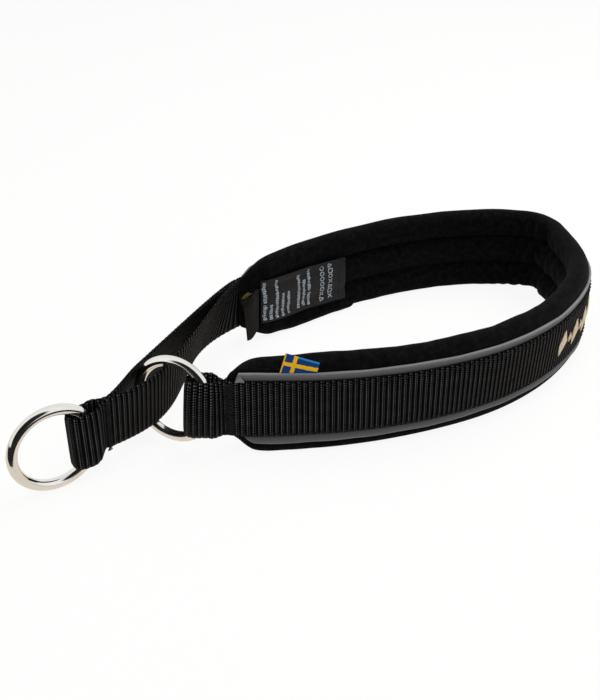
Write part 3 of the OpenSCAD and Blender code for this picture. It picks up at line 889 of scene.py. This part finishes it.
def make_band_webbing():
    """Webbing of the band: from its back end along the outer face, then round the slide ring and back."""
    s = np.arange(BAND_LEN, -LOOP_RUN, -0.5)
    point, turn = band_at(s)
    face = point + WEB_MID * outward(turn)
    ring_loop = RingLoop(SLIDE_C, SLIDE_TURN, SLIDE_LEAN, TACK_FRONT, 180)
    inner = WEB_MID - WEB_T - LAY_GAP
    loop = ring_loop.lines(WEB_MID, inner)
    tail = columns(np.linspace(0.3, LOOP_RUN - 0.1, 8), -inner) + TACK_FRONT
    fade = step(TACK_FRONT[0] - loop[0, :, 0], LOOP_FADE, 0)[:, None]
    lines = []
    for up, line in zip(ACROSS * HALF_W, loop):
        lean = flare(s, np.full(len(s), up))[:, None] * outward(turn)
        lines.append(np.concatenate([face + lean, (line + fade * lean[-1])[1:], tail + lean[-1]]))
    face, loop = webbing_strip(("band_webbing", "slide_loop_webbing"), lines, [len(s) - 1])
    bend_with_band(face)
    ring_loop.swing(loop)
    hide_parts("webbing_front", "webbing_bend", "webbing_back")
    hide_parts("slide_loop")


make_band_webbing()


# Control strap

# How far the plies pass inside and outside the slide ring, and how the rear one leans over it
PASS_IN = 5.0
PASS_TILT = 2.2
REAR_PASS = RING_R + RING_WIRE / 2 + RING_GAP + WEB_T
STRAP_LEAN = 5.2
# How far the lower edge lies behind the upper one at the tack, and how much the ring lifts the strap
STRAP_TILT = 2.6
STRAP_RISE = 0.6
# How the rear ply turns off behind the tack, in degrees
REAR_TURN = 25.0
# How long the lower and upper edges keep the band's heading
LOW_LEAD = 1.5
TOP_LEAD = 0.3
# Where the strap starts behind the band's back end, and the stretch over which it bends there
ROOT_GAP = 0.4
# Where its ribs start in their pitch, and the distance of a ply from the strap's middle
RIBS_FROM = 1.1
PLY = WEB_T / 2 + LAY_GAP
STRAP_SIDE = along(LEASH_TURN + 90)


def strap_tilt(up):
    """Shift of the strap at its tack, with up from -1 at its lower edge to 1 at its upper one."""
    return STRAP_TILT * (np.asarray(up)[..., None] - 1) / 2 * STRAP_SIDE


def hermite(a, va, b, vb, count=60):
    """Smooth plan curve from a to b, leaving along va and arriving along vb."""
    s = np.linspace(0, 1, count)[:, None]
    return ((2 * s ** 3 - 3 * s ** 2 + 1) * a + (s ** 3 - 2 * s ** 2 + s) * va
            + (3 * s ** 2 - 2 * s ** 3) * b + (s ** 3 - s ** 2) * vb)


def ply_line(tacked, leave, passing, finish, lead):
    """Plan line of a ply from the strap's tack past the slide ring to the band's back end."""
    start = tacked + TACK_W * along(LEASH_TURN + 180)
    way = (finish - start) / norm(finish - start)
    near, far = norm(passing - start), norm(finish - passing)
    arrive = along(band_at(BAND_LEN)[1] + 180)
    first = hermite(start, near * along(leave), passing, near * way)
    second = hermite(passing, far * way, finish, far * lead * arrive)
    return np.concatenate([[tacked], first, second[1:]])


def make_control_strap():
    """One closed length of webbing: front ply from the band to the tack, leash loop, and rear ply back."""
    end, turn = band_at(BAND_LEN)
    root = end + ROOT_GAP * along(turn)
    ring_loop = RingLoop(LEASH_C, LEASH_TURN, 0, TACK_LEASH, LEASH_TURN)
    loop = ring_loop.lines(PLY, -PLY)
    fade = step((loop[0] - TACK_LEASH) @ along(LEASH_TURN), LOOP_FADE, 0)
    back = LEASH_TURN + 180
    lines = []
    for up, line in zip(ACROSS, loop):
        lead = LOW_LEAD + (TOP_LEAD - LOW_LEAD) * (up + 1) / 2
        tilt = strap_tilt(up)
        front = ply_line(TACK_LEASH + PLY * STRAP_SIDE + tilt, back,
                         SLIDE_C + (PASS_IN + PASS_TILT * (1 - up) / 2) * along(SLIDE_TURN),
                         root + (FACE - PLY) * outward(turn), lead)
        rear = ply_line(TACK_LEASH - PLY * STRAP_SIDE + tilt, back + REAR_TURN,
                        SLIDE_C + (REAR_PASS - STRAP_LEAN * up) * along(SLIDE_TURN),
                        root + (FACE + PLY) * outward(turn), lead)
        lines.append(np.concatenate([front[::-1], (line + fade[:, None] * tilt)[1:-1], rear]))
    # The slide ring lifts the strap a little, and its free end sinks until its ring rests on the table
    ply_z = MID_Z + STRAP_RISE * np.sin(np.linspace(0, np.pi, len(front)))
    loop_z = LEASH_Z + (MID_Z - LEASH_Z) * fade[1:-1]
    middle = np.concatenate([ply_z[::-1], loop_z, ply_z])
    names = ("strap_front_webbing", "leash_loop_webbing", "strap_rear_webbing")
    cuts = [len(front) - 1, len(middle) - len(rear)]
    front_ply, leash_loop, rear_ply = webbing_strip(names, lines, cuts, middle, RIBS_FROM)
    for piece in (front_ply, rear_ply):
        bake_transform(piece)
    ring_loop.swing(leash_loop)
    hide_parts("strap_front_ply")
    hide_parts("strap_rear_ply")
    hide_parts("leash_loop")


make_control_strap()


# Bar tacks

TACK_PITCH = 0.62
TACK_THREAD = 0.24
TACK_JITTER = 0.18


def bar_tack(name, node, body, place, faces, loose, seed):
    """Dense zigzag of thread across the webbing; place gives points from reach, side and up.

    Each face is its side, its outward sign, and the middle and width of its zigzag."""
    rng = np.random.default_rng(seed)
    paths = []
    for side, sign, middle, width in faces:
        for k, up in enumerate(np.arange(-HALF_W + 0.7, HALF_W - 1.2, TACK_PITCH)):
            jitter = rng.normal(0, TACK_JITTER, 3)
            reach = middle + np.linspace(-0.5, 0.5, 6) * (width + jitter[0]) * (-1) ** k + jitter[1]
            lift = sign * np.array([-0.12, 0.08, 0.14, 0.14, 0.08, -0.12])
            paths.append(place(reach, side + lift, up + np.linspace(0, TACK_PITCH, 6) + 0.5 * jitter[2]))
    # Loose ends of the thread hang at the lower edge
    side, sign, middle, width = faces[-1]
    for k in range(loose):
        drop = np.linspace(0.9, -0.9 - 0.25 * k % 0.7, 5)
        reach = middle + width * (0.1 * k - 0.2) + 0.3 * np.sin(drop * 2 + k)
        paths.append(place(reach, side + sign * (0.1 + 0.1 * np.cos(drop * 3 + k)), drop - HALF_W))
    ride_on(body, threads(name, paths, TACK_THREAD, BLACK_THREAD), node)


def on_slide_tack(reach, side, up):
    return on_band(-LOOP_RUN - reach, side, up)


def on_leash_tack(reach, side, up):
    plan = TACK_LEASH + reach[:, None] * along(LEASH_TURN) + side[:, None] * STRAP_SIDE
    return np.concatenate([plan + strap_tilt(up / HALF_W), (MID_Z + up)[:, None]], -1)


bar_tack("slide_loop_stitches", "slide_loop_tack", "band_front", on_slide_tack,
         ((WEB_LOW - WEB_T - LAY_GAP, -1, -1.2, 2.0), (WEB_TOP, 1, -1.8, 5.0)), 0, SEED + 11)
bar_tack("leash_loop_stitches", "leash_loop_tack", "control_strap", on_leash_tack,
         ((-WEB_T - LAY_GAP, -1, -1.0, 2.4), (WEB_T + LAY_GAP, 1, -1.0, 3.0)), 5, SEED + 12)


def make_anchor_stitches():
    """Box of stitches through the webbing where the strap is closed into the band's back end."""
    s = BAND_LEN - np.array([2.0, 2.6, 3.4, 4.0])
    out = WEB_TOP + np.array([0, 0.2, 0.2, 0])
    paths = [on_band(s, out, up + np.array([0, 0.15, 0.4, 0.55]))
             for up in np.arange(-HALF_W + 1.2, HALF_W - 1.2, 0.55)]
    stitches = threads("strap_anchor_stitches", paths, 0.3, BLACK_THREAD)
    ride_on("band_back", stitches, "strap_anchor_tack")


make_anchor_stitches()

for ring_name in ("slide_ring", "leash_ring"):
    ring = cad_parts[ring_name]
    ring.data.materials.clear()
    ring.data.materials.append(STEEL)
    ring.data.polygons.foreach_set("use_smooth", [True] * len(ring.data.polygons))


# Labels and embroidery

def label_point(u, v, lift):
    """Point on the care label: u from its sewn end, v up from its middle, lifted off its back."""
    d = LABEL_FROM + u
    up = v - LABEL_DROP - LABEL_SLOPE * (u / LABEL_LEN - 0.5)
    behind = thickness(d) * (FACE + CROWN) - FACE + LABEL_GAP
    dip = 0.75 * (hump(up - SEAM_UP, SEAM_NEAR) + hump(up + SEAM_UP, SEAM_NEAR))
    curl = 0.35 * step(u, 0, 20) * np.sin(u / 9.0)
    return on_band(BAND_LEN - d, dip - behind - lift - 0.15 - np.abs(curl), up)


def make_care_label():
    """Satin label sewn in at the band's back end, with a turned hem at its far end."""
    u = np.concatenate([np.linspace(0, 47.5, 42), np.linspace(48, LABEL_LEN, 17)])
    U, V = np.meshgrid(u, np.linspace(-0.5, 0.5, 17) * LABEL_H, indexing="ij")
    hem = 0.45 * step(U, HEM_FROM, HEM_FROM + 0.5) - 0.3 * hump(U - HEM_SEAM, 0.4)
    return thin_strip("care_label_satin", label_point(U, V, LABEL_T + hem), label_point(U, V, 0),
                      columns(U, V), LABEL_SATIN)


def make_label_print():
    """Rows of plain dashes and small frames where the label would be printed."""
    rng = np.random.default_rng(SEED + 21)
    quads = []
    for place, low, high in PRINT_ROWS:
        v = low
        while v < high - 0.02:
            run = min(rng.uniform(0.018, 0.045), high - v)
            width, shift = rng.uniform(0.02, 0.036), rng.uniform(-0.004, 0.004)
            left, right = place + shift - width / 2, place + shift + width / 2
            quads.append([(left, v), (right, v), (right, v + run), (left, v + run)])
            v += run + rng.uniform(0.008, 0.016)
    # Plain shapes stand in for the care symbols: boxes, rings, triangles and crossed lines
    ring = [(math.cos(a), math.sin(a)) for a in np.linspace(0, TURN, 9)]
    shapes = ([(-1, -1), (1, -1), (1, 1), (-1, 1), (-1, -1)], ring, [(-1, -1), (1, 0), (-1, 1), (-1, -1)],
              [(-1, -1), (1, 1), (0, 0), (-1, 1), (1, -1)])
    size = np.array([LABEL_LEN, LABEL_H])
    for place, low in SYMBOL_ROWS:
        for k in range(SYMBOLS_EACH):
            shape = np.array(shapes[rng.integers(len(shapes))]) * SYMBOL_HALF + (place, low + SYMBOL_STEP * k)
            for a, b in zip(shape[:-1], shape[1:]):
                way = (b - a) * size
                side = np.array([-way[1], way[0]]) / norm(way) * SYMBOL_LINE / size
                quads.append([a - side, b - side, b + side, a + side])
    # Each mark is a thin box that stands a little out of the satin
    flat = (np.array(quads) - (0, 0.5)) * size
    layers = [label_point(flat[..., 0], flat[..., 1], LABEL_T + lift) for lift in (-0.15, 0.06)]
    box = ((0, 1, 2, 3), (7, 6, 5, 4), (0, 4, 5, 1), (1, 5, 6, 2), (2, 6, 7, 3), (3, 7, 4, 0))
    faces = [tuple(8 * k + i for i in face) for k in range(len(quads)) for face in box]
    vertices, uvs = np.concatenate(layers, 1).reshape(-1, 3), np.concatenate([flat, flat], 1).reshape(-1, 2)
    return make_object("care_label_print", vertices, faces, uvs, LABEL_PRINT, smooth=False)


care_label = make_care_label()
label_print = make_label_print()
ride_on("band_back", care_label, "care_label")
ride_on("band_back", label_print)


def tail_point(across, t, stand, sink):
    """Point on the tail: across from its left edge, t from its mouth to its tip, standing off its middle."""
    left = -2.0 + 1.6 * t ** 0.4
    d = left + (6.8 - 0.6 * t - left) * across
    hung = 1.6 * step(t, 0, 0.2) + 1.2 * t - 0.6
    inward = hung + (3.6 - 0.2 * t - hung) * across
    top = 3 + 13.6 * across - 8.9 * across ** 2 - sink
    low = TAIL_SLANT * np.maximum((across - 0.2) / 0.8, 0) ** 1.7 - TAIL_DROP
    return on_band(BAND_LEN - d, -inward - stand, top + (low - top) * t)


def make_label_tail():
    """Doubled ribbon that hangs from a slanted, gaping mouth at the band's end down to its tip."""
    turns = np.linspace(0, TURN, 48, endpoint=False)
    near = np.sin(turns)
    rows = [(t, 0.0) for t in np.linspace(1, 0, 28)] + [(t, 0.3) for t in np.linspace(0.01, 0.4, 10)]
    rings, uvs = [], []
    for t, wall in rows:
        across = 0.5 + (0.5 - wall / TAIL_W) * np.cos(turns)
        gape = np.maximum(1 - ((across - 0.38) / 0.46) ** 2, 0)
        deep = 0.3 + TAIL_OPEN * gape * (1 - t) ** 2.2
        rings.append(tail_point(across, t, (deep - min(wall, 0.2)) * near, 1.2 * gape * np.maximum(near, 0)))
        uvs.append(columns(TAIL_W * across, t * TAIL_DROP))
    return loft("label_tail_ribbon", np.array(rings), np.array(uvs), TAIL_RIBBON)


def make_tail_threads():
    """Loose gold ends of thread in the mouth of the tail."""
    rng = np.random.default_rng(SEED + 22)
    paths = []
    for k in range(12):
        across = np.linspace(0.14, 0.5, 7) + rng.normal(0, 0.03)
        stand = 0.16 * k - 0.7 + 0.2 * np.sin(14 * across + k)
        sink = 1.0 - 0.3 * np.sin(16 * across + 2 * k) + rng.normal(0, 0.2)
        paths.append(tail_point(across, 0.0, stand, sink))
    return threads("label_tail_threads", paths, 0.15, GOLD_THREAD)


ride_on("band_back", make_label_tail(), "label_tail")
ride_on("band_back", make_tail_threads())


def make_flag():
    """Small woven tab that slants out of the upper seam and stands off the rolled edge."""
    P, T = np.meshgrid(np.linspace(0, FLAG_LEN, 29), np.linspace(0, 1, 17), indexing="ij")
    root = P * math.tan(FLAG_TILT) - 0.6
    Q = root + (FLAG_H - root) * T
    s = FLAG_FROM + P * math.cos(FLAG_TILT) + Q * math.sin(FLAG_TILT)
    rise = Q * math.cos(FLAG_TILT) - P * math.sin(FLAG_TILT)
    # It follows the roll as far as it is held, and stands free above that, a little bowed
    q = math.radians(4) + np.minimum(rise, FLAG_HELD) / (ROLL_R + 0.15)
    free = np.maximum(rise - FLAG_HELD, 0)
    bow = 0.25 * np.sin(np.pi * P / FLAG_LEN) * free / 5

    def at(lift):
        r = ROLL_R + 0.15 + lift + bow
        out = ROLL_OUT + r * np.cos(q) - free * np.sin(q)
        return on_band(s, out, ROLL_UP + r * np.sin(q) + free * np.cos(q))

    flag = thin_strip("flag_tab_weave", at(LABEL_T), at(0.0), columns(P, Q), FLAG_WEAVE)
    ride_on("band_front", flag, "flag_tab")


make_flag()

# Border on the webbing: its stretch and step, then width and height of its lozenges and diamonds
BORDER_FROM, BORDER_TO, BORDER_STEP = 154, 238, 12.5
LOZENGE = (7.0, 12.5)
DIAMOND = (3.2, 5.0)
DIAMOND_AFTER = 6.75
BORDER_LEAN = 0.25
SATIN_PITCH = 0.4


def make_embroidery():
    """Border of slanted satin-stitch lozenges and small diamonds on the outside of the webbing."""
    rng = np.random.default_rng(SEED + 23)
    swell = WEB_TOP + LAY_GAP + np.array([-0.12, 0.22, 0.34, 0.34, 0.22, -0.12])
    paths = []

    def satin(middle, width, height):
        for offset in np.arange(-width / 2 + 0.2, width / 2, SATIN_PITCH):
            half = height / 2 * (1 - abs(2 * offset / width) ** 1.3) + rng.normal(0, 0.08)
            if half >= SATIN_PITCH:
                up = np.linspace(-half, half, 6)
                paths.append(on_band(middle + offset + BORDER_LEAN * up, swell, up))

    for middle in np.arange(BORDER_FROM, BORDER_TO, BORDER_STEP):
        satin(middle, *LOZENGE)
        satin(middle + DIAMOND_AFTER, *DIAMOND)
    motif = threads("webbing_embroidery", paths, 0.24, CREAM_THREAD, 5)
    bend_with_band(motif)


def make_edge_stitches():
    """Two rows of stitches that sew the webbing to the pad, along its edges."""
    stitch, pitch, inset = np.array([0.0, 0.5, 1.9, 2.4]), 3.1, 1.4
    out = WEB_TOP + np.array([-0.3, 0.02, 0.02, -0.3])
    paths = [on_band(start + stitch, out, up) for up in (inset - HALF_W, HALF_W - inset)
             for start in np.arange(5, BAND_LEN - 8, pitch)]
    stitches = threads("webbing_edge_stitches", paths, 0.2, BLACK_THREAD)
    bend_with_band(stitches)


make_embroidery()
make_edge_stitches()


# Camera

def make_camera():
    """Camera that looks down on the collar from the front, as in the photograph."""
    data = bpy.data.cameras.new("camera")
    data.sensor_width = 36.0
    data.lens = FOCAL_PX * data.sensor_width / max(FRAME_SIZE)
    data.clip_start = 0.01
    camera = bpy.data.objects.new("camera", data)
    camera.location = Vector(CAMERA_AT) * MM
    camera.rotation_euler = (math.radians(90 - CAMERA_DOWN), 0, 0)
    bpy.context.scene.collection.objects.link(camera)
    bpy.context.scene.camera = camera


make_camera()


# Stage and light

# What the rings mirror: a dark wall in front, and a warm table with a dark cloth on it, in metres
WALL_TOWARDS = (-0.1, -0.84, 0.53)
CLOTH_FROM = 0.118
TABLE_WARM = (0.8, 0.73, 0.64)
CLOTH_DARK = (0.02, 0.02, 0.02)
TABLE_HALF = 4000


def sky(tree, strength, axis, stops):
    """Background whose level follows the direction, from 0 square to the axis to 1 along it."""
    aim = tree.add("VectorMath", Vector=tree.out("TexCoord", "Generated"))
    aim.operation = "DOT_PRODUCT"
    aim.inputs[1].default_value = axis
    grey = tree.ramp(Value(tree, aim.outputs["Value"]), [(place, (level,) * 3) for place, level in stops])
    return tree.out("Background", Color=grey, Strength=strength)


def make_world():
    """White for the camera, soft light from above, and a dark wall in front for the rings to mirror."""
    world = bpy.data.worlds.new("studio")
    bpy.context.scene.world = world
    world.use_nodes = True
    tree = Tree(world.node_tree)
    soft = sky(tree, 0.6, (0, 0, 1), ((0.0, 0.05), (0.3, 0.4), (1.0, 1.0)))
    mirrored = sky(tree, 1.0, WALL_TOWARDS, ((0.0, 0.9), (0.66, 1.0), (0.76, 0.02), (1.0, 0.012)))
    white = tree.out("Background", Color=(1, 1, 1))
    mixed = tree.by_ray(soft, mirrored, 1.0, "Glossy")
    mixed = tree.by_ray(mixed, white, 1.0, "Camera", "Transmission")
    tree.feed(tree.nodes["World Output"].inputs["Surface"], mixed)


def make_floor():
    """White table with a faint shadow; the rings mirror it warm, with a dark cloth in front."""
    m = Shade("floor_white", (0.9, 0.88, 0.85), 0.9)
    plain = Value(m, m.bsdf.outputs[0])
    mixed = m.by_ray(plain, m.out("Emission"), 0.9, "Camera", "Transmission")
    place = m.out("SeparateXYZ", "Y", Vector=m.out("NewGeometry", "Position"))
    near = m.math("LESS_THAN", place, -CLOTH_FROM)
    mirrored = m.out("Emission", Color=m.mix(near, TABLE_WARM, CLOTH_DARK))
    mixed = m.by_ray(mixed, mirrored, 1.0, "Glossy")
    m.feed(m.nodes["Material Output"].inputs["Surface"], mixed)
    corners = [(x * TABLE_HALF, y * TABLE_HALF, 0) for x, y in ((-1, -1), (1, -1), (1, 1), (-1, 1))]
    make_object("floor", corners, [(0, 1, 2, 3)], material=m.material)


def area_light(name, at, target, size, watts):
    """Soft light on the cloth; the polished rings mirror the world and the table only."""
    data = bpy.data.lights.new(name, "AREA")
    data.energy, data.size = watts, size
    lamp = bpy.data.objects.new(name, data)
    lamp.location = at
    lamp.rotation_euler = (Vector(target) - Vector(at)).to_track_quat("-Z", "Y").to_euler()
    lamp.visible_glossy = False
    bpy.context.scene.collection.objects.link(lamp)


make_world()
make_floor()
area_light("key", (-0.35, -0.45, 0.8), (0, 0, 0.02), 0.45, 2.4)
area_light("fill", (0.7, -0.4, 0.5), (0, 0, 0.02), 0.5, 1.0)
area_light("top", (0.4, 0.3, 0.8), (0.02, 0.02, 0.02), 0.6, 5.5)
bpy.context.scene.view_settings.view_transform = "Standard"
